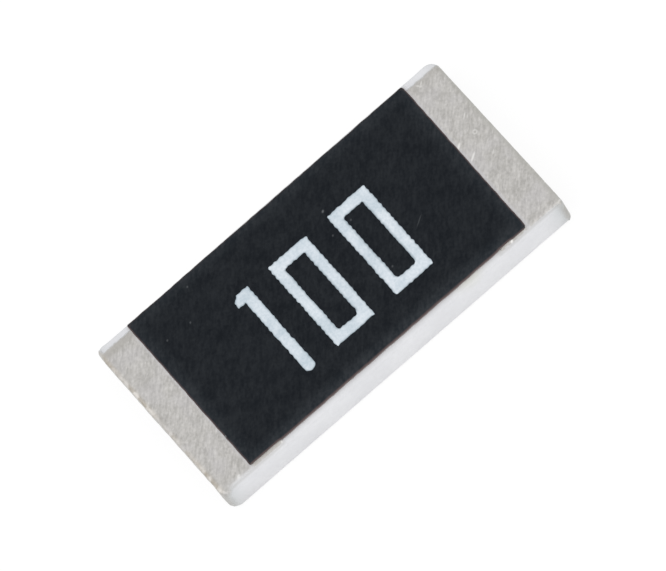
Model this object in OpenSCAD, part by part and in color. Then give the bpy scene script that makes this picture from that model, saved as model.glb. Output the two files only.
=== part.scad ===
// Thick-film chip resistor: printed and fired layers on a ceramic chip, with plated wrap-round ends.
// Millimetres. The chip lies on its bottom terminations at z = 0, with its length along X,
// its width along Y and its black printed face up. The origin is at the middle of the underside.
// The near long side is towards -Y and the far one towards +Y.

/* [Ceramic substrate] */
// Length of the bare ceramic between its end faces
substrate_length = 6.22; // [5.80:0.02:6.80]
// Width of the bare ceramic between its long side faces
substrate_width = 3.10; // [2.60:0.02:3.40]
// Thickness of the bare ceramic
substrate_thickness = 0.500; // [0.400:0.005:0.600]
// Radius of the four upright corners, worn round by tumbling
substrate_corner_radius = 0.15; // [0.04:0.01:0.18]
// Radius of the edges round the top and bottom faces
substrate_edge_radius = 0.035; // [0.010:0.005:0.040]

/* [Printed electrodes] */
// Thickness of the fired silver print, top and bottom
electrode_thickness = 0.010; // [0.006:0.001:0.014]
// Length of each top electrode, from the ceramic's end face inwards
top_electrode_length = 1.09; // [0.95:0.02:1.45]
// Length of each bottom electrode, from the ceramic's end face inwards
bottom_electrode_length = 0.60; // [0.40:0.02:1.00]
// Bare ceramic left beside the electrodes along the near side
electrode_near_margin = 0.105; // [0.060:0.005:0.200]
// Bare ceramic left beside the electrodes along the far side
electrode_far_margin = 0.140; // [0.060:0.005:0.200]

/* [Resistive film] */
// Thickness of the fired resistive film
film_thickness = 0.011; // [0.008:0.001:0.014]
// Bare ceramic left beside the film along each long side
film_margin = 0.35; // [0.25:0.01:0.60]
// Length of film that lies on each top electrode
film_overlap = 0.20; // [0.10:0.01:0.30]
// Length of the ramp where a layer steps up onto an electrode's inner edge
film_ramp = 0.03; // [0.01:0.01:0.08]
// Corner radius of the film and of the glass in plan
film_corner_radius = 0.06; // [0.02:0.01:0.12]

/* [Laser trim] */
// Width of the laser cut that sets the resistance
trim_width = 0.040; // [0.025:0.005:0.060]
// Place of the cut along the chip, from its middle
trim_position = -0.80; // [-1.20:0.05:0.00]
// Depth of the cut into the film from its near edge
trim_depth = 0.95; // [0.40:0.05:1.40]
// Length of the cut's second leg, which runs along the chip
trim_leg = 1.10; // [0.30:0.05:1.60]

/* [Glass coat] */
// Thickness of the glass fired over the film
glass_thickness = 0.009; // [0.006:0.001:0.012]
// How far the glass reaches past the film on every side
glass_margin = 0.05; // [0.02:0.01:0.08]

/* [Black overcoat] */
// Length at each end of the ceramic that the overcoat leaves bare for the pads
pad_length = 0.555; // [0.400:0.005:0.750]
// Bare ceramic left beside the overcoat along the near side
overcoat_near_margin = 0.110; // [0.040:0.005:0.180]
// Bare ceramic left beside the overcoat along the far side
overcoat_far_margin = 0.040; // [0.040:0.005:0.180]
// Height of the overcoat's flat top above the ceramic
overcoat_height = 0.048; // [0.042:0.001:0.080]
// Radius of the overcoat's corners in plan
overcoat_corner_radius = 0.05; // [0.02:0.01:0.12]
// Radius of the overcoat's upper edge
overcoat_edge_radius = 0.016; // [0.006:0.002:0.024]

/* [Plated ends] */
// Thickness of the end electrode's conductive film
end_film_thickness = 0.006; // [0.003:0.001:0.012]
// Length that the end electrode laps over the ends of the printed electrodes
end_wrap = 0.07; // [0.06:0.01:0.20]
// Length that the end electrode wraps round onto the long side faces
side_wrap = 0.03; // [0.02:0.01:0.20]
// Height of bare ceramic that the end electrode leaves at the top of the far corners
far_corner_bare = 0.06; // [0.02:0.01:0.20]
// Thickness of the nickel barrier
nickel_thickness = 0.005; // [0.003:0.001:0.010]
// Thickness of the tin plating
tin_thickness = 0.009; // [0.004:0.001:0.014]

/* [Hidden] */
// Fineness of every arc
$fn = 64;
// Extra reach of a cutting shape past the solid that it cuts
cut_reach = 0.5;
// Everything below the ceramic: the thicker of the two first layers, then the two platings
substrate_bottom = max(electrode_thickness, end_film_thickness) + nickel_thickness + tin_thickness;
substrate_middle = substrate_bottom + substrate_thickness / 2;
substrate_top = substrate_bottom + substrate_thickness;
// Where the electrodes' outer ends stop, at the start of the ceramic's edge rounding
electrode_outer_x = substrate_length / 2 - substrate_edge_radius;
// Half the gap between the two top electrodes
half_gap = substrate_length / 2 - top_electrode_length;
film_length = 2 * (half_gap + film_overlap);
film_width = substrate_width - 2 * film_margin;
overcoat_length = substrate_length - 2 * pad_length;
overcoat_width = substrate_width - overcoat_near_margin - overcoat_far_margin;
overcoat_middle_y = (overcoat_near_margin - overcoat_far_margin) / 2;

ALUMINA = [0.93, 0.93, 0.94];
SILVER = [0.80, 0.79, 0.76];
RUTHENIUM_BLACK = [0.20, 0.21, 0.22];
GREEN_GLASS = [0.42, 0.58, 0.50];
EPOXY_BLACK = [0.10, 0.105, 0.115];
NICKEL = [0.66, 0.64, 0.58];
MATTE_TIN = [0.75, 0.74, 0.73];

// Outlines and blocks that several pieces share

// A rectangle about the origin with round corners
module rounded_rectangle(length, width, radius) {
    square([length - 2 * radius, width], center = true);
    square([length, width - 2 * radius], center = true);
    for (x = [-1, 1], y = [-1, 1])
        translate([x * (length / 2 - radius), y * (width / 2 - radius)])
            circle(r = radius);
}

// A block about the origin, its upright corners rounded in plan and its flat faces' edges in section
module soft_block(length, width, thickness, corner_radius, edge_radius) {
    intersection() {
        linear_extrude(thickness + cut_reach, center = true)
            rounded_rectangle(length, width, corner_radius);
        rotate([90, 0, 0])
            linear_extrude(width + cut_reach, center = true)
                rounded_rectangle(length, thickness, edge_radius);
        rotate([90, 0, 90])
            linear_extrude(length + cut_reach, center = true)
                rounded_rectangle(width, thickness, edge_radius);
    }
}

// A box given by its lowest and highest corner
module box_between(low, high) {
    translate(low)
        cube(high - low);
}

// The ceramic's form, swollen on every side by the layers laid on it
module swollen_substrate(growth) {
    translate([0, 0, substrate_middle])
        soft_block(
            substrate_length + 2 * growth,
            substrate_width + 2 * growth,
            substrate_thickness + 2 * growth,
            substrate_corner_radius + growth,
            substrate_edge_radius + growth
        );
}

// Forms of the right-hand end, which the left-hand end mirrors

// One printed electrode's footprint between two heights, swollen sideways by the plating on it
module electrode_print(length, growth, bottom, top) {
    inner_x = substrate_length / 2 - length;
    near_y = electrode_near_margin - substrate_width / 2;
    far_y = substrate_width / 2 - electrode_far_margin;
    box_between(
        [inner_x - growth, near_y - growth, bottom],
        [electrode_outer_x + growth, far_y + growth, top]
    );
}

// The chip's end as the end electrode covers it, swollen by the plating on it: a band over the printed
// electrodes, the near corners, and the far corners up to their bare tops
module end_cap(growth) {
    near_y = electrode_near_margin - substrate_width / 2;
    far_y = substrate_width / 2 - electrode_far_margin;
    lap_x = substrate_length / 2 - end_wrap - growth;
    side_x = substrate_length / 2 - side_wrap - growth;
    intersection() {
        swollen_substrate(end_film_thickness + growth);
        union() {
            box_between(
                [lap_x, near_y - growth, -cut_reach],
                [substrate_length, far_y + growth, substrate_top + cut_reach]
            );
            box_between(
                [side_x, -substrate_width, -cut_reach],
                [substrate_length, near_y, substrate_top + cut_reach]
            );
            box_between(
                [side_x, near_y, -cut_reach],
                [substrate_length, substrate_width, substrate_top - far_corner_bare + growth]
            );
        }
    }
}

// All that plating grows on at this end, swollen by the plating laid so far
module plated_form(growth) {
    end_cap(growth);
    electrode_print(
        top_electrode_length, growth,
        substrate_middle, substrate_top + electrode_thickness + growth
    );
    electrode_print(
        bottom_electrode_length, growth,
        substrate_bottom - electrode_thickness - growth, substrate_middle
    );
}

// One plated layer, from the growth it starts on to the growth it ends at, stopped by the overcoat
module plated_layer(inner_growth, outer_growth) {
    difference() {
        plated_form(outer_growth);
        plated_form(inner_growth);
        swollen_substrate(0);
        overcoat_block();
    }
}

// Forms of the printed face

// Length profile of a layer on the ceramic that steps up onto both electrodes' inner edges
module stepped_profile(length, height) {
    polygon([
        [-length / 2, 0],
        [length / 2, 0],
        [length / 2, electrode_thickness + height],
        [half_gap, electrode_thickness + height],
        [half_gap - film_ramp, height],
        [film_ramp - half_gap, height],
        [-half_gap, electrode_thickness + height],
        [-length / 2, electrode_thickness + height]
    ]);
}

// A printed sheet with that profile, before what lies under it is taken away
module stepped_sheet(length, width, height) {
    translate([0, 0, substrate_top])
        intersection() {
            rotate([90, 0, 0])
                linear_extrude(width + cut_reach, center = true)
                    stepped_profile(length, height);
            linear_extrude(cut_reach)
                rounded_rectangle(length, width, film_corner_radius);
        }
}

// The laser's path: in from the film's near edge, then along the chip, with round ends
module trim_cut() {
    turn_y = trim_depth - film_width / 2 - trim_width / 2;
    near_y = -film_width / 2 - glass_margin - cut_reach;
    translate([trim_position, 0, substrate_top - cut_reach])
        linear_extrude(2 * cut_reach) {
            translate([-trim_width / 2, near_y])
                square([trim_width, turn_y - near_y]);
            translate([0, turn_y - trim_width / 2])
                square([trim_leg, trim_width]);
            for (x = [0, trim_leg])
                translate([x, turn_y])
                    circle(d = trim_width);
        }
}

// The overcoat's outer form, before the layers under it are taken away
module overcoat_block() {
    // The block is as deep below the ceramic's face as above it, and only its upper half is used
    intersection() {
        translate([0, overcoat_middle_y, substrate_top])
            soft_block(
                overcoat_length, overcoat_width, 2 * overcoat_height,
                overcoat_corner_radius, overcoat_edge_radius
            );
        box_between(
            [-overcoat_length, -overcoat_width, substrate_top],
            [overcoat_length, overcoat_width, substrate_top + overcoat_height + cut_reach]
        );
    }
}

module top_electrodes() {
    right_top_electrode();
    left_top_electrode();
}

// The pieces

// White alumina chip, snapped from a scored plate
module ceramic_substrate() {
    color(ALUMINA)
        swollen_substrate(0);
}

// Silver print that joins the film to the end of the chip
module right_top_electrode() {
    color(SILVER)
        electrode_print(top_electrode_length, 0, substrate_top, substrate_top + electrode_thickness);
}

module left_top_electrode() {
    mirror([1, 0, 0])
        right_top_electrode();
}

// Silver print under the chip that the solder pad is plated on
module right_bottom_electrode() {
    color(SILVER)
        electrode_print(bottom_electrode_length, 0, substrate_bottom - electrode_thickness, substrate_bottom);
}

module left_bottom_electrode() {
    mirror([1, 0, 0])
        right_bottom_electrode();
}

// Resistive glaze between the electrodes, cut by the laser until its value is right
module resistive_film() {
    color(RUTHENIUM_BLACK)
        difference() {
            stepped_sheet(film_length, film_width, film_thickness);
            top_electrodes();
            trim_cut();
        }
}

// Glass fired over the film before trimming, cut through together with it
module glass_coat() {
    color(GREEN_GLASS)
        difference() {
            stepped_sheet(
                film_length + 2 * glass_margin,
                film_width + 2 * glass_margin,
                film_thickness + glass_thickness
            );
            stepped_sheet(film_length, film_width, film_thickness);
            top_electrodes();
            trim_cut();
        }
}

// Black resin printed last over the film, which also fills the laser cut
module black_overcoat() {
    color(EPOXY_BLACK)
        difference() {
            overcoat_block();
            top_electrodes();
            resistive_film();
            glass_coat();
        }
}

// Conductive film on the end face, wrapped round its edges and corners
module right_end_electrode() {
    color(SILVER)
        difference() {
            end_cap(0);
            swollen_substrate(0);
            right_top_electrode();
            right_bottom_electrode();
        }
}

module left_end_electrode() {
    mirror([1, 0, 0])
        right_end_electrode();
}

// Nickel plated over all the bare silver, so that solder can't dissolve it
module right_nickel_barrier() {
    color(NICKEL)
        plated_layer(0, nickel_thickness);
}

module left_nickel_barrier() {
    mirror([1, 0, 0])
        right_nickel_barrier();
}

// Matte tin plated over the nickel, the surface that is soldered
module right_tin_plating() {
    color(MATTE_TIN)
        plated_layer(nickel_thickness, nickel_thickness + tin_thickness);
}

module left_tin_plating() {
    mirror([1, 0, 0])
        right_tin_plating();
}

ceramic_substrate();
left_top_electrode();
right_top_electrode();
left_bottom_electrode();
right_bottom_electrode();
resistive_film();
glass_coat();
black_overcoat();
left_end_electrode();
right_end_electrode();
left_nickel_barrier();
right_nickel_barrier();
left_tin_plating();
right_tin_plating();
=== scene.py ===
import math

import bmesh
import bpy
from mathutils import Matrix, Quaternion, Vector, noise


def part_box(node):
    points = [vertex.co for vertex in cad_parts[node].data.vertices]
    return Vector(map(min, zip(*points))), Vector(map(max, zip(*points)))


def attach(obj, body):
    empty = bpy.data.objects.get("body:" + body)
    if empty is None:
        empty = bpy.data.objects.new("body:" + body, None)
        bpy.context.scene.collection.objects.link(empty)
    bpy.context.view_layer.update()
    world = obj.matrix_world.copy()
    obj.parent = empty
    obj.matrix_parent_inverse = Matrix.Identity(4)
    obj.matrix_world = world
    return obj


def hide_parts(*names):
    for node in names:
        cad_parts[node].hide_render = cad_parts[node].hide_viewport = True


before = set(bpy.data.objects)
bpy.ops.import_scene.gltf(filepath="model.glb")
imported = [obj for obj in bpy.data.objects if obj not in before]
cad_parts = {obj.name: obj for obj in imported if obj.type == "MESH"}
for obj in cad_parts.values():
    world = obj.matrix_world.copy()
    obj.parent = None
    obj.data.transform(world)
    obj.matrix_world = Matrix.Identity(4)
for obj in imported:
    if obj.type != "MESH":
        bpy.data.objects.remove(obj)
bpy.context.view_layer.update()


# The ceramic substrate: a chip of white sintered alumina, snapped out of a scored plate, so that its sides
# are a little uneven and its rims worn round. Every other layer is printed, fired or plated on it.

MM = 0.001


def box_of(node):
    """The lowest and the highest corner of a CAD node, in millimetres."""
    low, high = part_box(node)
    return low / MM, high / MM


def soft_block(low, high, corners, rim, under):
    """A block with round upright corners, one radius each, and a round rim on top, or under it too."""
    bm = bmesh.new()
    bmesh.ops.create_cube(bm, size=1.0)
    bmesh.ops.scale(bm, vec=high - low, verts=bm.verts)
    middle = (low + high) / 2
    bmesh.ops.translate(bm, vec=middle, verts=bm.verts)
    for (right, far), radius in corners.items():
        upright = []
        for edge in bm.edges:
            first, second = (vert.co for vert in edge.verts)
            at_corner = (first.x > middle.x) == right and (first.y > middle.y) == far
            if at_corner and abs(first.z - second.z) > 0.001:
                upright.append(edge)
        bmesh.ops.bevel(bm, geom=upright, offset=radius, offset_type="OFFSET", segments=8, profile=0.5,
                        affect="EDGES", material=-1)
    bm.normal_update()
    rims = []
    for edge in bm.edges:
        level = [face for face in edge.link_faces if abs(face.normal.z) > 0.9]
        if len(level) == 1 and (under or level[0].normal.z > 0):
            rims.append(edge)
    bmesh.ops.bevel(bm, geom=rims, offset=rim, offset_type="OFFSET", segments=5, profile=0.5,
                    affect="EDGES", material=-1)
    return bm


def slice_across(bm, axis, stops, step):
    """Cuts the mesh by planes at the stops and evenly between them, so that it can be waved or worn."""
    places = [stops[0]]
    for first, last in zip(stops, stops[1:]):
        count = max(1, math.ceil((last - first) / step))
        places += [first + (last - first) * i / count for i in range(1, count + 1)]
    facing = Vector((0.0, 0.0, 0.0))
    facing[axis] = 1.0
    for place in places:
        bmesh.ops.bisect_plane(bm, geom=bm.verts[:] + bm.edges[:] + bm.faces[:], dist=0.0001,
                               plane_co=facing * place, plane_no=facing)


def ease(value, first, last):
    """Rises smoothly from 0 to 1 as the value goes from first to last."""
    share = min(1.0, max(0.0, (value - first) / (last - first)))
    return share * share * (3 - 2 * share)


end_inner = 2.4
end_outer = 3.08
left_near_out = 0.013
right_out = 0.006
right_near_out = 0.027
right_undercut = 0.025
bare_rim_out = 0.011


def push_end(place):
    """Sets a place on an end off square: the near corners stand out, and so does the far right bare rim."""
    near = 1 - ease(place.y, chip_low.y, chip_low.y + 0.5)
    if place.x < 0:
        place.x -= left_near_out * near * ease(-place.x, end_inner, end_outer)
        return
    under = 1 - (place.z - chip_low.z) / (chip_high.z - chip_low.z)
    out = right_out + right_near_out * (chip_high.y - place.y) / (chip_high.y - chip_low.y)
    out -= right_undercut * near * under
    at_rim = ease(place.x, 2.9, end_outer) * ease(place.y, 1.36, 1.44) * ease(place.z, 0.3, 0.5)
    place.x += ease(place.x, end_inner, end_outer) * out + bare_rim_out * at_rim


def settle(bm, name, material, node):
    """Makes the finished mesh, drawn in millimetres, the piece that stands for a CAD node."""
    bmesh.ops.scale(bm, vec=Vector((MM, MM, MM)), verts=bm.verts)
    bmesh.ops.recalc_face_normals(bm, faces=bm.faces)
    mesh = bpy.data.meshes.new(name)
    bm.to_mesh(mesh)
    bm.free()
    mesh.shade_smooth()
    mesh.set_sharp_from_angle(angle=math.radians(50))
    mesh.materials.append(material)
    piece = bpy.data.objects.new(name, mesh)
    bpy.context.scene.collection.objects.link(piece)
    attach(piece, "root")
    if node:
        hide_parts(node)
    return piece


class Value:
    """A socket of a material's node tree. Sums and products of it add the nodes that work them out."""

    def __init__(self, tree, socket):
        self.tree = tree
        self.socket = socket

    def node(self, kind, settings, inputs, output=0):
        """Adds a node of any kind: its settings first, then the values or links of its sockets."""
        made = self.tree.nodes.new(kind)
        for name, setting in settings.items():
            setattr(made, name, setting)
        for name, given in inputs.items():
            if isinstance(given, Value):
                self.tree.links.new(given.socket, made.inputs[name])
            else:
                made.inputs[name].default_value = given
        return Value(self.tree, made.outputs[output])

    def maths(self, operation, first, second):
        return self.node("ShaderNodeMath", {"operation": operation}, {0: first, 1: second})

    def __add__(self, other):
        return self.maths("ADD", self, other)

    def __radd__(self, other):
        return self.maths("ADD", other, self)

    def __sub__(self, other):
        return self.maths("SUBTRACT", self, other)

    def __rsub__(self, other):
        return self.maths("SUBTRACT", other, self)

    def __mul__(self, other):
        return self.maths("MULTIPLY", self, other)

    def __rmul__(self, other):
        return self.maths("MULTIPLY", other, self)

    def grain(self, scale, detail):
        """Noise over this place, from 0 to 1, with so many lumps a millimetre."""
        return self.node("ShaderNodeTexNoise", {}, {"Vector": self, "Scale": scale, "Detail": detail}, "Fac")

    def ease(self, first, last):
        """Rises smoothly from 0 to 1 as this value goes from first to last."""
        return self.node("ShaderNodeMapRange", {"interpolation_type": "SMOOTHSTEP"},
                         {"Value": self, "From Min": first, "From Max": last}, "Result")

    def ramp(self, first, last):
        """Rises evenly from 0 to 1 as this value goes from first to last."""
        return self.node("ShaderNodeMapRange", {},
                         {"Value": self, "From Min": first, "From Max": last}, "Result")

    def along(self, axis):
        """One coordinate of this place."""
        return self.node("ShaderNodeSeparateXYZ", {}, {"Vector": self}, axis)

    def turned(self, point, angle, stretch):
        """This place seen from a point, turned about the upright axis and stretched along each new axis."""
        moved = self.node("ShaderNodeVectorMath", {"operation": "SUBTRACT"}, {0: self, 1: point})
        turned = self.node("ShaderNodeVectorRotate", {"rotation_type": "Z_AXIS"},
                           {"Vector": moved, "Angle": -math.radians(angle)})
        return self.node("ShaderNodeVectorMath", {"operation": "MULTIPLY"}, {0: turned, 1: stretch})

    def length(self):
        """How far this place is from where it is measured."""
        return self.node("ShaderNodeVectorMath", {"operation": "LENGTH"}, {0: self}, "Value")

    def fleck(self, point, angle, length, width):
        """1 inside a small oval mark about a point, fading to 0 at its edge."""
        return 1 - self.turned((*point, 0.0), angle, (2 / length, 2 / width, 0.0)).length().ease(0.2, 1.0)

    def larger(self, other):
        return self.maths("MAXIMUM", self, other)

    def blend(self, first, second):
        """A colour between two, by this share of the second."""
        return self.node("ShaderNodeMix", {"data_type": "RGBA"}, {0: self, 6: first, 7: second}, 2)

    def drawn(self, name):
        """A value that the piece's own mesh carries."""
        return self.node("ShaderNodeAttribute", {"attribute_name": name}, {}, "Fac")

    def bump(self, depth):
        """A surface normal from this height, whose whole range is so many millimetres deep."""
        return self.node("ShaderNodeBump", {},
                         {"Height": self, "Strength": 1.0, "Distance": depth * MM}, "Normal")


def start_finish(name):
    """A new material, and the place on the piece that it colours, in millimetres."""
    material = bpy.data.materials.new(name)
    material.use_nodes = True
    tree = material.node_tree
    place = Value(tree, tree.nodes.new("ShaderNodeTexCoord").outputs["Object"])
    return material, place.node("ShaderNodeVectorMath", {"operation": "SCALE"}, {0: place, "Scale": 1 / MM})


def set_finish(material, inputs):
    """Gives the material's surface its values and links."""
    surface = material.node_tree.nodes["Principled BSDF"]
    for name, given in inputs.items():
        if isinstance(given, Value):
            material.node_tree.links.new(given.socket, surface.inputs[name])
        else:
            surface.inputs[name].default_value = given


def near_corner_darkening(place):
    """How much a place is darkened: it is on the two near corners, below the top rim."""
    across = place.along("X")
    outward = across.maths("ABSOLUTE", across, 0.0).ease(3.0, 3.10)
    return outward * (1 - place.along("Z").ease(0.51, 0.55)) * (1 - place.along("Y").ease(-1.5, -1.3)) * 0.5


# The two near corners, below the top rim, are made darker with this grey.
near_corner_grey = (0.41, 0.405, 0.385, 1.0)
chip_low, chip_high = box_of("ceramic_substrate")
chip_corners = {(False, False): 0.145, (True, False): 0.08, (True, True): 0.15, (False, True): 0.09}
chip_rim = 0.035
chip_step = 0.06
chip_border = 0.18
rim_border = 0.05
rim_wear = 0.002
rim_chip_depth = 0.012
side_wave = 0.002
far_left_hollow = 0.012

chip = soft_block(chip_low, chip_high, chip_corners, chip_rim, under=True)
slice_across(chip, 0, [chip_low.x + chip_border, chip_high.x - chip_border], chip_step)
slice_across(chip, 1, [chip_low.y + chip_border, chip_high.y - chip_border], chip_step)
slice_across(chip, 2, [chip_low.z + rim_border, chip_high.z - rim_border], chip_step)
chip.normal_update()
for vert in chip.verts:
    from_side = min(vert.co.y - chip_low.y, chip_high.y - vert.co.y)
    from_face = min(vert.co.z - chip_low.z, chip_high.z - vert.co.z)
    worn = 1 - ease(max(from_side, from_face), 0.0, 0.07)
    chipped = max(0.0, noise.noise(vert.co * 5.0) - 0.25)
    uneven = side_wave * noise.noise(vert.co * 2.2) * (1 - abs(vert.normal.z))
    vert.co -= vert.normal * (worn * (rim_wear + rim_chip_depth * chipped) + abs(uneven))
    far_left = ease(vert.co.x, -3.1, -2.85) * (1 - ease(vert.co.x, -2.8, -0.5))
    vert.co.y -= far_left_hollow * ease(vert.co.y, 1.3, 1.5) * far_left
    push_end(vert.co)

alumina, place = start_finish("alumina")
cloud = place.grain(2.2, 3.0)
fine = place.grain(45.0, 2.0)
speckle = fine.ease(0.3, 0.7) * 0.2 + place.grain(13.0, 2.0).ease(0.35, 0.7) * 0.25
across = place.along("X")
depth = place.along("Y")
height = place.along("Z")
reach_out = across.maths("ABSOLUTE", across, 0.0)
near_end = reach_out.ramp(2.7, 3.05)
smear = near_end * near_end * (0.7 + 0.6 * place.grain(9.0, 3.0)) * (1 - 0.75 * depth.ease(0.0, 1.4))
# Painted shade: the sides are painted darker towards the bottom, where the table shades them, and more so
# towards the left end.
foot = (1 - height.ramp(0.02, 0.42)) * (1.7 - across.ease(-3.1, -1.9))
# Painted shade: the near top rim is painted darker, to tone down the light that falls brightest on it.
rim = height.ease(0.46, 0.515) * (1 - depth.ease(-1.545, -1.50))
# Painted shade: the ceramic just in front of the overcoat's near edge is painted darker, as the resin's
# shade.
beside = depth.ease(-1.52, -1.43) * (1 - depth.ease(-1.40, -1.30))
# The ceramic strip in front of the tin pads' near edge is made darker.
beside_tin = depth.ease(-1.536, -1.503) * (1 - depth.ease(-1.3, -1.2)) * height.ease(0.45, 0.50)
tin_front_darkening = beside_tin * reach_out.ease(1.95, 2.03)
stain = 1 - place.turned((1.46, -1.46, 0.52), 0.0, (2.8, 6.5, 4.5)).length().ease(0.1, 1.0)
colour = cloud.ease(0.3, 0.7).blend((0.749, 0.755, 0.778, 1.0), (0.794, 0.800, 0.821, 1.0))
colour = speckle.blend(colour, (0.70, 0.705, 0.725, 1.0))
colour = smear.blend(colour, (0.60, 0.62, 0.63, 1.0))
colour = (foot * 0.24).blend(colour, (0.58, 0.565, 0.56, 1.0))
# The painted shade of the near top rim and of the strip in front of the overcoat.
colour = (rim * 0.22 + beside * 0.48).blend(colour, (0.58, 0.575, 0.585, 1.0))
colour = (tin_front_darkening * 0.40).blend(colour, (0.53, 0.52, 0.50, 1.0))
colour = (stain * 0.85).blend(colour, (0.70, 0.703, 0.665, 1.0))
colour = near_corner_darkening(place).blend(colour, near_corner_grey)
set_finish(alumina, {"Base Color": colour, "Roughness": 0.62, "Specular IOR Level": 0.3,
                     "Normal": fine.bump(0.0015)})
settle(chip, "ceramic_chip", alumina, "ceramic_substrate")


# The silver electrodes: printed silver, fired onto the ceramic at both ends, above and below. Resin and
# plating hide them, so the CAD solids stay, and only their finish is set here.

def refinish(node, material):
    """Gives another finish to a CAD node that keeps its shape."""
    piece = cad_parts[node]
    piece.data.materials.clear()
    piece.data.materials.append(material)


silver, place = start_finish("silver_print")
colour = place.grain(30.0, 2.0).blend((0.62, 0.61, 0.58, 1.0), (0.72, 0.71, 0.68, 1.0))
set_finish(silver, {"Base Color": colour, "Metallic": 1.0, "Roughness": 0.5})
for node in ("left_top_electrode", "right_top_electrode", "left_bottom_electrode", "right_bottom_electrode"):
    refinish(node, silver)


# The resistive film: a dark ruthenium oxide glaze, printed between the top electrodes, fired, and cut by a
# laser to its value. It lies under the glass and the overcoat.

glaze, place = start_finish("resistive_glaze")
colour = place.grain(25.0, 3.0).blend((0.018, 0.018, 0.020, 1.0), (0.035, 0.036, 0.040, 1.0))
set_finish(glaze, {"Base Color": colour, "Roughness": 0.35})
refinish("resistive_film", glaze)


# The glass coat: a thin greenish glass, printed and fired over the film before the laser cut. The overcoat
# hides it, so its CAD solid stays.

glass, place = start_finish("trim_glass")
colour = place.grain(12.0, 2.0).blend((0.10, 0.16, 0.11, 1.0), (0.14, 0.21, 0.15, 1.0))
set_finish(glass, {"Base Color": colour, "Roughness": 0.15})
refinish("glass_coat", glass)


# The black overcoat: matte black resin, screen printed over the film and cured. Its edges follow the mesh of
# the screen, so they are not quite straight, and its shoulders are round.

# The printed edges wave alike at each run.
print_seed = 2
noise.seed_set(print_seed)


def print_wave(place):
    """How far the printed resin strays sideways at a place."""
    slow = noise.noise_vector(place * 2.3) * 0.003
    quick = noise.noise_vector(place * 9.0 + Vector((7.0, 3.0, 1.0))) * 0.006
    return Vector((slow.x + quick.x, slow.y + quick.y, 0.0))


coat_corners = {(False, False): 0.03, (True, False): 0.07, (True, True): 0.04, (False, True): 0.03}
coat_rim = 0.02
coat_step = 0.03
coat_border = 0.075
left_overprint = 0.009
near_overprint = 0.004
right_shortfall = 0.001
left_notch = 0.014
right_notch = 0.010
right_askew = 0.008
sag = 0.0015

coat_low, coat_high = box_of("black_overcoat")
coat_low.x -= left_overprint
coat_low.y -= near_overprint
coat_high.x -= right_shortfall
coat = soft_block(coat_low, coat_high, coat_corners, coat_rim, under=False)
slice_across(coat, 0, [coat_low.x + coat_border, coat_high.x - coat_border], coat_step)
slice_across(coat, 1, [coat_low.y + coat_border, coat_high.y - coat_border], coat_step)
inside = coat.verts.layers.float.new("inside")
for vert in coat.verts:
    flat = Vector((vert.co.x, vert.co.y, 0.0))
    vert[inside] = min(flat.x - coat_low.x, coat_high.x - flat.x, flat.y - coat_low.y, coat_high.y - flat.y)
    at_left = 1 - ease(flat.x, -2.03, -1.97)
    at_right = ease(flat.x, 2.0, 2.06) - 1.8 * ease(flat.x, 2.24, 2.30)
    short = (left_notch * at_left + right_notch * at_right) * (1 - ease(flat.y, -1.44, -1.3))
    askew = right_askew * ease(flat.x, 2.3, 2.5) * flat.y / 1.5
    vert.co += print_wave(flat) + Vector((askew, short, 0.0))
    if vert.co.z > coat_high.z - 0.004:
        vert.co.z += sag * noise.noise(flat * 1.7) - sag

resin, place = start_finish("black_resin")
inside = place.drawn("inside")
edge_tone = (1 - inside.ease(0.0, 0.28)) * (1.0 - 0.32 * place.along("Y").ease(-1.4, -1.1))
edge_line = 1 - inside.ease(0.0, 0.035)
thin = edge_line * (1 - place.along("Z").ease(0.526, 0.562))
fine = place.grain(24.0, 2.0)
streak = place.turned((0.0, 0.0, 0.0), 52.0, (1.0, 2.8, 1.0)).grain(8.0, 2.0)
cloud = place.grain(3.5, 3.0)
dust = place.fleck((0.561, 0.831), 40.0, 0.07, 0.05)
specks = ((0.441, 0.439), (0.775, 0.439), (0.776, -0.543),
          (-1.564, 1.336), (-1.865, 0.878), (-2.274, 0.903))
for point in specks:
    dust = dust.larger(place.fleck(point, 50.0, 0.055, 0.04) * 0.5)
dust = dust.larger(place.fleck((-2.556, -0.84), 70.0, 0.06, 0.04) * 1.4)
dust = dust.larger(place.fleck((1.478, -0.278), 33.0, 0.30, 0.03) * 0.3)
tone = fine * 0.4 + streak * 0.55 + cloud * 0.5 - 0.47
colour = tone.ease(0.0, 0.55).blend((0.0010, 0.0030, 0.0062, 1.0), (0.0135, 0.0165, 0.0205, 1.0))
edge_colour = tone.ease(0.0, 0.55).blend((0.0090, 0.0135, 0.0185, 1.0), (0.0330, 0.0375, 0.0430, 1.0))
colour = edge_tone.blend(colour, edge_colour)
colour = (edge_line * edge_line * 0.85).blend(colour, (0.125, 0.088, 0.085, 1.0))
colour = (thin * 0.8).blend(colour, (0.34, 0.31, 0.30, 1.0))
colour = (dust * 0.5).blend(colour, (0.20, 0.21, 0.22, 1.0))
set_finish(resin, {"Base Color": colour, "Roughness": 0.58, "Specular IOR Level": 0.14,
                   "Normal": (fine * 0.6 + streak * 0.4).bump(0.003)})
settle(coat, "resin_overcoat", resin, "black_overcoat")


# The value code: three plain figures in white ink, screen printed on the overcoat. The screen's threads
# leave small even waves along the edges of each stroke.

ink_low = coat_high.z - 0.0025
ink_high = coat_high.z + 0.0030
ink_step = 0.02
ink_edge = 0.012
stroke_across = 0.167
stroke_along = 0.185
nought_foot_round = 0.045
nought_head_round = 0.025
one_foot_round = 0.075
flag_cut = 0.085
thread_wave = 0.005
thread_turn = 64.0


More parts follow.
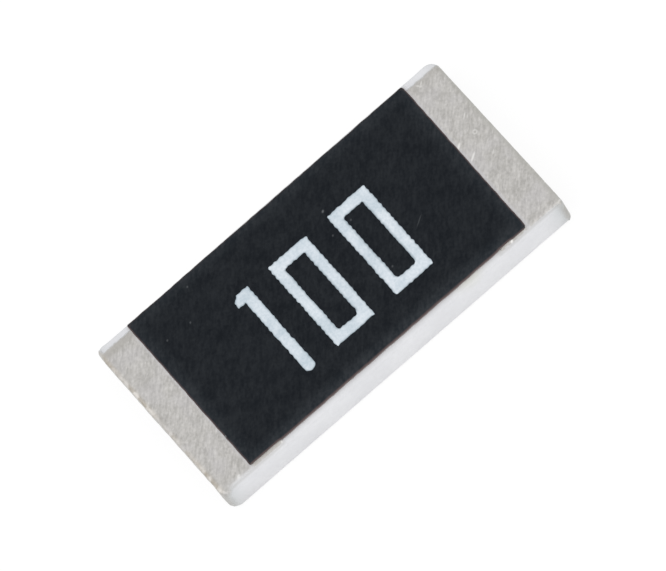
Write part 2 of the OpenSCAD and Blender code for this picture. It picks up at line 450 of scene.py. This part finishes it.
def open_figure(left, right, bottom, top):
    """A nought: a round-cornered window, whose border is drawn out into one stroke."""
    bm = bmesh.new()
    bmesh.ops.create_grid(bm, x_segments=1, y_segments=1, size=0.5)
    bmesh.ops.scale(bm, vec=Vector((right - left, top - bottom, 1.0)), verts=bm.verts)
    bmesh.ops.translate(bm, vec=Vector(((left + right) / 2, (bottom + top) / 2, 0.0)), verts=bm.verts)
    for lower, radius in ((True, nought_foot_round), (False, nought_head_round)):
        ends = [vert for vert in bm.verts if (vert.co.y < (bottom + top) / 2) == lower]
        bmesh.ops.bevel(bm, geom=ends, offset=radius, offset_type="OFFSET", segments=3, profile=0.5,
                        affect="VERTICES", material=-1)
    window = bm.faces[:]
    drawn = bmesh.ops.extrude_edge_only(bm, edges=bm.edges[:])["geom"]
    for vert in drawn:
        if isinstance(vert, bmesh.types.BMVert):
            corner = Vector((left if vert.co.x < (left + right) / 2 else right,
                             bottom if vert.co.y < (bottom + top) / 2 else top, 0.0))
            stroke = Vector((math.copysign(stroke_across, vert.co.x - (left + right) / 2),
                             math.copysign(stroke_along, vert.co.y - (bottom + top) / 2), 0.0))
            outer_round = 0.5 if stroke.y < 0 else 1.2
            vert.co = corner + stroke + (vert.co - corner) * outer_round
    bmesh.ops.delete(bm, geom=window, context="FACES_ONLY")
    return bm


def straight_figure(left, right, bottom, top, flag):
    """A one: an upright stroke with a round foot, and a short flag drawn out of its head."""
    bm = bmesh.new()
    bmesh.ops.create_grid(bm, x_segments=1, y_segments=1, size=0.5)
    bmesh.ops.scale(bm, vec=Vector((right - left, top - bottom, 1.0)), verts=bm.verts)
    bmesh.ops.translate(bm, vec=Vector(((left + right) / 2, (bottom + top) / 2, 0.0)), verts=bm.verts)
    foot = [vert for vert in bm.verts if vert.co.y < 0]
    bmesh.ops.bevel(bm, geom=foot, offset=one_foot_round, offset_type="OFFSET", segments=5, profile=0.5,
                    affect="VERTICES", material=-1)
    slice_across(bm, 1, [top - stroke_along], 1.0)
    side = [edge for edge in bm.edges if all(abs(vert.co.x - left) < 0.001 for vert in edge.verts)]
    head = [edge for edge in side if all(vert.co.y > top - stroke_along - 0.005 for vert in edge.verts)]
    drawn = bmesh.ops.extrude_edge_only(bm, edges=head)["geom"]
    for vert in drawn:
        if isinstance(vert, bmesh.types.BMVert):
            vert.co.x -= flag
    tip = [vert for vert in bm.verts if vert.co.x < left - flag / 2 and vert.co.y > top - stroke_along / 2]
    bmesh.ops.bevel(bm, geom=tip, offset=flag_cut, offset_type="OFFSET", segments=1, profile=0.5,
                    affect="VERTICES", material=-1)
    return bm


def print_figure(bm, name):
    """Cuts the figure finely, waves its edges, and gives it the ink's thickness."""
    for axis in (0, 1):
        places = [vert.co[axis] for vert in bm.verts]
        slice_across(bm, axis, [min(places) + ink_edge, max(places) - ink_edge], ink_step)
    edge = bm.verts.layers.float.new("edge")
    for vert in bm.verts:
        beside = any(line.other_vert(vert).is_boundary for line in vert.link_edges)
        vert[edge] = 1.0 if vert.is_boundary else 0.35 * beside
        start = vert.co.copy()
        wave = noise.noise_vector(start * 5.0) * 0.006 + noise.noise_vector(start * 15.0) * 0.010
        sway = 0.75 + noise.noise(start * 6.0)
        vert.co.x += wave.x + thread_wave * sway * math.sin(start.y * thread_turn + 5.0 * start.x)
        vert.co.y += wave.y + thread_wave * sway * math.sin(start.x * thread_turn + 5.0 * start.y)
        vert.co.z = ink_low
    raised = bmesh.ops.extrude_face_region(bm, geom=bm.faces[:], use_keep_orig=True)["geom"]
    top = [vert for vert in raised if isinstance(vert, bmesh.types.BMVert)]
    bmesh.ops.translate(bm, vec=Vector((0.0, 0.0, ink_high - ink_low)), verts=top)
    return settle(bm, name, ink, None)


ink, place = start_finish("white_ink")
cloud = place.grain(4.0, 2.0)
fine = place.grain(26.0, 2.0)
thin = place.fleck((-1.02, -0.17), 0.0, 0.3, 0.16) * 0.5 + (1 - place.along("X").ease(-0.95, -0.6)) * 0.15
tone = cloud.ease(0.3, 0.7) * 0.55 + fine.ease(0.25, 0.75) * 0.45 - thin
colour = tone.blend((0.54, 0.625, 0.69, 1.0), (0.765, 0.82, 0.875, 1.0))
colour = (place.drawn("edge") * 0.75).blend(colour, (0.16, 0.22, 0.26, 1.0))
set_finish(ink, {"Base Color": colour, "Roughness": 0.55, "Specular IOR Level": 0.3,
                 "Normal": fine.bump(0.0015)})
print_figure(straight_figure(left=-1.103, right=-0.929, bottom=-0.942, top=0.722, flag=0.119), "figure_one")
print_figure(open_figure(left=-0.379, right=-0.016, bottom=-0.743, top=0.537), "figure_nought_a")
print_figure(open_figure(left=0.717, right=1.069, bottom=-0.740, top=0.539), "figure_nought_b")


# The end electrodes: a thin conductive film over each end face, which joins the silver above and below.
# Nickel and tin cover it, so the CAD solids stay.

end_film, place = start_finish("end_film")
colour = place.grain(40.0, 2.0).blend((0.55, 0.54, 0.52, 1.0), (0.66, 0.65, 0.63, 1.0))
set_finish(end_film, {"Base Color": colour, "Metallic": 1.0, "Roughness": 0.4})
for node in ("left_end_electrode", "right_end_electrode"):
    refinish(node, end_film)


# The nickel barriers: nickel, plated over all the silver that is left bare, to keep the solder from eating
# it. The tin covers it whole, so it has the tin's shape, a little smaller.

# What each end has of its own: its side, the radii of its upright corners, where the overcoat, the tongue and
# the pad's far edge end, how far the plating wraps the near rim, the sides and the far rim, how wide its near
# edge fades out, and how gritty its outer rim is.
end_shapes = {
    "left": {
        "side": -1, "corners": {(True, False): 0.18, (True, True): 0.115},
        "coat_end": 2.562, "tongue_end": 1.985, "far": 1.447,
        "rim_wrap": 0.165, "side_wrap": 0.125, "far_wrap": 0.06, "fade": 0.10, "grit": 0.0035,
    },
    "right": {
        "side": 1, "corners": {(True, False): 0.10, (True, True): 0.185},
        "coat_end": 2.552, "tongue_end": 2.05, "far": 1.437,
        "rim_wrap": 0.07, "side_wrap": 0.16, "far_wrap": -0.03, "fade": 0.014, "grit": 0.0015,
    },
}
plate_rim = 0.05
plate_swell = 0.012
plate_step = 0.02
edge_step = 0.016
pad_overlap = 0.014
near_overlap = 0.042
far_rim_bare = 0.065
foot_bare = 0.09
ragged_depth = 0.009
sunk_edge = 0.026
sunk_pad_edge = 0.010
nickel_below = 0.010
nickel_inset = 0.032
nickel_skin = 0.004


def round_union(first, second, width):
    """The larger of two distances, with the corner where they meet rounded over a width."""
    return max(first, second) + max(0.0, width - abs(first - second)) ** 2 / (4 * width)


def plate_end(end, layer, below, inset, skin, finish):
    """A plated skin: the end of a soft block, trimmed to a ragged edge that thins out into the ceramic.

    It lies so far below the last plating's surface and so far inside its edge.
    """
    shape = end_shapes[end]
    side = shape["side"]
    low, high = box_of(end + "_tin_plating")
    reach = max(-low.x, high.x)
    print_low, print_high = box_of(end + "_bottom_electrode")
    under = min(abs(print_low.x), abs(print_high.x)) - pad_overlap
    near = print_low.y - near_overlap
    half = (low.z + high.z) / 2
    bare_rim = high.z - far_rim_bare

    def from_edge(place):
        """How far a place on the chip's end lies inside the edge that the layer has on bare ceramic."""
        start = shape["tongue_end"] if place.z > half else under
        pad = min(place.x - start, place.y - near, shape["far"] - place.y)
        wrap = shape["side_wrap"] - foot_bare * (1 - ease(place.z, 0.02, 0.10))
        if place.y < 0:
            wrap += (shape["rim_wrap"] - shape["side_wrap"]) * ease(place.z, 0.38, 0.50)
        else:
            wrap += (shape["far_wrap"] - wrap) * ease(place.z, bare_rim - 0.03, bare_rim + 0.01)
        spot = place + Vector((side * 5.0, 0.0, 0.0))
        ragged = ragged_depth * noise.noise(spot * 9.0) + ragged_depth * noise.noise(spot * 23.0)
        return round_union(pad, place.x - reach + wrap, 0.06) + ragged - inset

    def cover(place):
        """How far inside the layer's whole edge a place lies, counting the edge that the overcoat hides."""
        if place.z < half:
            return from_edge(place)
        by_coat = max(place.x - shape["coat_end"], coat_low.y - place.y) + 0.02 - inset / 3
        return min(from_edge(place), by_coat)

    block_low = Vector((1.5, chip_low.y - plate_swell + below, low.z + below))
    block_high = Vector((reach - below, chip_high.y + plate_swell - below, high.z - below))
    corners = {corner: radius - below for corner, radius in shape["corners"].items()}
    bm = soft_block(block_low, block_high, corners, plate_rim - below, under=True)
    first = shape["tongue_end"] - 0.03
    bmesh.ops.bisect_plane(bm, geom=bm.verts[:] + bm.edges[:] + bm.faces[:], dist=0.0001, clear_inner=True,
                           plane_co=Vector((first, 0.0, 0.0)), plane_no=Vector((1.0, 0.0, 0.0)))
    slice_across(bm, 0, [first, shape["coat_end"] - 0.02, reach - 0.02], plate_step)
    slice_across(bm, 1, [chip_low.y + 0.01, near, near + 0.08], edge_step)
    slice_across(bm, 1, [near + 0.08, shape["far"] - 0.06], 1.5 * plate_step)
    slice_across(bm, 1, [shape["far"] - 0.06, shape["far"], chip_high.y - 0.01], edge_step)
    slice_across(bm, 2, [low.z + 0.02, high.z - 0.02], 0.025)
    bare = [face for face in bm.faces if cover(face.calc_center_median()) < 0]
    bmesh.ops.delete(bm, geom=bare, context="FACES")

    # The trimmed mesh is drawn onto the layer's edge, along the slope of the distance to it.
    bm.normal_update()
    for turn in range(2):
        for vert in [vert for vert in bm.verts if vert.is_boundary]:
            slope = Vector((0.0, 0.0, 0.0))
            tangent = vert.normal.orthogonal().normalized()
            for way in (tangent, vert.normal.cross(tangent)):
                slope += way * (cover(vert.co + way * 0.003) - cover(vert.co - way * 0.003)) / 0.006
            if slope.length > 0.3:
                vert.co -= slope * min(0.02, max(-0.02, cover(vert.co) / slope.length_squared))

    # The skin thins out towards its edge, and its outer end is gritty.
    bm.normal_update()
    thinness = bm.verts.layers.float.new("thinness")
    moves = {}
    for vert in bm.verts:
        margin = from_edge(vert.co)
        upright = 1 - ease(abs(vert.normal.z), 0.3, 0.9)
        drop = (sunk_edge - below) * (1 - ease(margin, 0.0, 0.028 + 0.037 * upright))
        if vert.normal.z < -0.5:
            drop = (sunk_pad_edge - below) * (1 - ease(margin, 0.0, 0.01))
        fade = shape["fade"] if vert.co.y < 0 else 0.04
        wide = 0.012 + (fade - 0.012) * ease(vert.co.x, shape["coat_end"] - 0.05, shape["coat_end"] + 0.15)
        flat = 1 - 0.6 * ease(margin, 0.0, min(wide, 0.04)) - 0.4 * ease(margin, 0.0, wide)
        steep = 1 - ease(margin, 0.03, 0.13)
        vert[thinness] = flat + (steep - flat) * upright
        spot = vert.co + Vector((side * 3.0, 0.0, 0.0))
        rough = max(0.0, 0.8 + 1.6 * noise.noise(spot * 11.0) + 1.2 * noise.noise(spot * 21.0))
        gritty = ease(vert.co.x, reach - 0.12, reach - 0.03) * ease(vert.normal.z, -0.5, -0.2)
        moves[vert] = vert.normal * (shape["grit"] * rough * gritty * (below == 0) - drop)
    for vert, move in moves.items():
        vert.co += move
        vert.co.z = max(vert.co.z, low.z + below)
    bm.normal_update()
    inner = bmesh.ops.extrude_face_region(bm, geom=bm.faces[:], use_keep_orig=True)["geom"]
    for vert in inner:
        if isinstance(vert, bmesh.types.BMVert):
            vert.co -= vert.normal * skin
            vert.co.z = max(vert.co.z, low.z + below)
    bmesh.ops.scale(bm, vec=Vector((side, 1.0, 1.0)), verts=bm.verts)
    for vert in bm.verts:
        push_end(vert.co)
    return settle(bm, end + "_" + layer, finish, end + "_" + layer)


nickel, place = start_finish("nickel_plate")
colour = place.grain(40.0, 2.0).blend((0.52, 0.49, 0.45, 1.0), (0.62, 0.59, 0.54, 1.0))
set_finish(nickel, {"Base Color": colour, "Metallic": 1.0, "Roughness": 0.32})
for end in end_shapes:
    plate_end(end, "nickel_barrier", below=nickel_below, inset=nickel_inset, skin=nickel_skin,
              finish=nickel)


# The tin platings: matte tin, plated last over the nickel, wrapped from the top pad over the end to the pad
# below. It ends in a ragged line on the ceramic and creeps along the overcoat's near edge; glints of its
# grain are painted into its colour as highlights.

tin_skin = 0.006

tin, place = start_finish("matte_tin")
across = place.along("X")
reach_out = across.maths("ABSOLUTE", across, 0.0)
fine = place.grain(24.0, 2.0)
coarse = place.grain(7.5, 2.0)
streak = place.turned((0.0, 0.0, 0.0), 47.0, (1.0, 3.8, 1.0)).grain(8.2, 2.0)
# Painted highlights: glints of the grain, long light streaks painted into the colour.
glint = place.turned((0.0, 0.0, 0.0), 44.0, (1.0, 3.6, 1.0)).grain(11.0, 1.0).ease(0.62, 0.82)
# A bright ring and bright scratches: real marks on the tin, whose shine is painted into the colour as a
# highlight.
ring = place.turned((2.898, 0.216, 0.0), 0.0, (1.0, 1.0, 0.0)).length()
scratches_and_sheen = ring.ease(0.008, 0.024) * (1 - ring.ease(0.030, 0.052)) * 0.42
# Each scratch has its middle, its angle, its length and width, and how bright its painted shine is.
scratches = (((2.594, 0.208), 38.0, 0.17, 0.06, 0.75), ((2.645, -0.060), 33.0, 0.24, 0.05, 0.65),
             ((2.941, 0.520), 39.0, 0.18, 0.032, 0.45), ((2.965, 0.480), 39.0, 0.15, 0.030, 0.35),
             ((2.901, -0.210), 40.0, 0.12, 0.045, 0.45), ((2.733, 1.352), 128.0, 0.11, 0.040, 0.40),
             ((2.790, 1.352), 44.0, 0.12, 0.040, 0.45), ((2.758, 1.322), 0.0, 0.07, 0.060, 0.45),
             ((-2.792, -1.448), 48.0, 0.13, 0.075, 0.75), ((-2.000, -1.462), 45.0, 0.10, 0.06, 0.9),
             ((2.256, -1.462), 40.0, 0.08, 0.05, 0.8), ((3.135, -1.470), 20.0, 0.10, 0.05, 0.5))
for point, angle, length, width, strength in scratches:
    scratches_and_sheen = scratches_and_sheen.larger(place.fleck(point, angle, length, width) * strength)
grit = place.grain(8.0, 3.0)
depth = place.along("Y")
# The left end's outer rim is gritty: its dark grit is dirt, and its bright specks are painted highlights of
# light from the left.
left_rim = (grit * 0.06 - across).ease(3.07, 3.14) * depth.ease(-1.50, -1.42)
left_rim = left_rim * place.grain(3.0, 1.0).ease(0.25, 0.6)
left_rim = left_rim * (0.2 + 0.8 * place.along("Z").ease(0.30, 0.50))
# Painted shade: the right end's outer rim is painted darker, as it is turned from the light on the left.
shaded_right_rim = across.ease(3.04, 3.13)
tongue = 1 - reach_out.ease(2.52, 2.60)
inner = reach_out.ease(2.50, 2.55) * (1 - reach_out.ease(2.555, 2.61))
# Painted shade: a darker band along the pads' far edge, just inside the white margin.
far_edge_shade = depth.ease(1.26, 1.34) * (1 - depth.ease(1.39, 1.45)) * (0.56 - 0.23 * across.ease(-1.0, 1.0))
bare = place.drawn("thinness") * (0.5 + streak)
tone = fine.ease(0.2, 0.8) * 0.34 + streak.ease(0.25, 0.75) * 0.43 + coarse.ease(0.2, 0.8) * 0.23
colour = tone.blend((0.362, 0.352, 0.334, 1.0), (0.652, 0.636, 0.617, 1.0))
colour = (place.grain(3.2, 2.0).ease(0.45, 0.7) * 0.25).blend(colour, (0.585, 0.570, 0.590, 1.0))
colour = (inner * 0.5).blend(colour, (0.64, 0.64, 0.685, 1.0))
colour = (tongue * 0.55).blend(colour, (0.40, 0.385, 0.365, 1.0))
colour = far_edge_shade.blend(colour, (0.40, 0.385, 0.36, 1.0))
colour = (shaded_right_rim * 0.5).blend(colour, (0.44, 0.435, 0.40, 1.0))
grit_and_glints = grit.ease(0.35, 0.65).blend((0.36, 0.32, 0.26, 1.0), (0.72, 0.69, 0.65, 1.0))
colour = (left_rim * 0.75).blend(colour, grit_and_glints)
# The glints and the shine of the scratches are painted in as a near-white highlight.
colour = (glint * 0.3).larger(scratches_and_sheen).blend(colour, (0.86, 0.85, 0.83, 1.0))
bare_tone = place.along("Z").ease(0.49, 0.54).blend((0.59, 0.61, 0.62, 1.0), (0.655, 0.66, 0.67, 1.0))
colour = bare.blend(colour, bare_tone)
colour = near_corner_darkening(place).blend(colour, near_corner_grey)
relief = fine * 0.4 + streak * 0.6 + scratches_and_sheen * 0.3
set_finish(tin, {"Base Color": colour, "Metallic": 1 - bare.maths("MINIMUM", bare, 1.0),
                 "Roughness": 0.36 + 0.12 * streak, "Normal": relief.bump(0.004)})
for end in end_shapes:
    plate_end(end, "tin_plating", below=0.0, inset=0.0, skin=tin_skin, finish=tin)


# The stage: a white table under soft daylight from all round, a little brighter in front, with large soft
# lamps in front and to the left, a white backdrop, and the camera high on the near side, a long way off.

def seen_directly(tree):
    """1 for a ray that sees the surface itself: from the camera, off gloss or through glass."""
    path = tree.nodes.new("ShaderNodeLightPath")
    seen = Value(tree, path.outputs["Is Camera Ray"]) + Value(tree, path.outputs["Is Glossy Ray"])
    seen = seen + Value(tree, path.outputs["Is Transmission Ray"])
    return seen.maths("MINIMUM", seen, 1.0)


bpy.ops.mesh.primitive_plane_add(size=0.6)
table = bpy.context.object
table.name = "table"
paper, place = start_finish("paper")
tree = paper.node_tree
tree.nodes.remove(tree.nodes["Principled BSDF"])
lit = place.node("ShaderNodeBsdfDiffuse", {}, {"Color": (0.86, 0.86, 0.86, 1.0)})
bright = place.node("ShaderNodeEmission", {}, {"Color": (1.0, 1.0, 1.0, 1.0), "Strength": 1.06})
faded = place.node("ShaderNodeMixShader", {}, {0: 0.82, 1: lit, 2: bright})
shown = place.node("ShaderNodeMixShader", {}, {0: seen_directly(tree), 1: lit, 2: faded})
tree.links.new(shown.socket, tree.nodes["Material Output"].inputs["Surface"])
table.data.materials.append(paper)

world = bpy.data.worlds.new("daylight")
bpy.context.scene.world = world
world.use_nodes = True
sky = world.node_tree
seen = seen_directly(sky)
ahead = 0 - Value(sky, sky.nodes.new("ShaderNodeTexCoord").outputs["Generated"]).along("Y")
level = (0.835 + 0.2 * ahead.larger(0.0)) * (1 - seen) + seen
sky.nodes["Background"].inputs["Color"].default_value = (1.0, 1.0, 1.0, 1.0)
sky.links.new(level.socket, sky.nodes["Background"].inputs["Strength"])


def soft_lamp(name, direction, distance, size, watts):
    """A large square lamp that faces the object."""
    light = bpy.data.lights.new(name, "AREA")
    light.size = size
    light.energy = watts
    lamp = bpy.data.objects.new(name, light)
    away = Vector(direction).normalized()
    lamp.location = away * distance
    lamp.rotation_mode = "QUATERNION"
    lamp.rotation_quaternion = away.to_track_quat("Z", "Y")
    bpy.context.scene.collection.objects.link(lamp)
    return lamp


soft_lamp("front_lamp", direction=(-0.35, -0.8, 0.75), distance=0.15, size=0.30, watts=0.07)
soft_lamp("side_lamp", direction=(-0.9, 0.25, 0.6), distance=0.15, size=0.20, watts=0.022)

lens = bpy.data.cameras.new("camera")
lens.lens = 1200.0
lens.sensor_width = 36.0
lens.clip_start = 0.01
lens.clip_end = 10.0
camera = bpy.data.objects.new("camera", lens)
aim = Vector((-0.01675, -0.01544, 0.295))
distance = 311.3802
turn = math.radians(-3.1752)
rise = math.radians(62.6754)
roll = math.radians(-38.1777)
back = Vector((math.sin(turn) * math.cos(rise), -math.cos(turn) * math.cos(rise), math.sin(rise)))
camera.location = (aim + back * distance) * MM
camera.rotation_mode = "QUATERNION"
camera.rotation_quaternion = back.to_track_quat("Z", "Y") @ Quaternion((0.0, 0.0, 1.0), roll)
bpy.context.scene.collection.objects.link(camera)
bpy.context.scene.camera = camera
bpy.context.scene.view_settings.view_transform = "Standard"
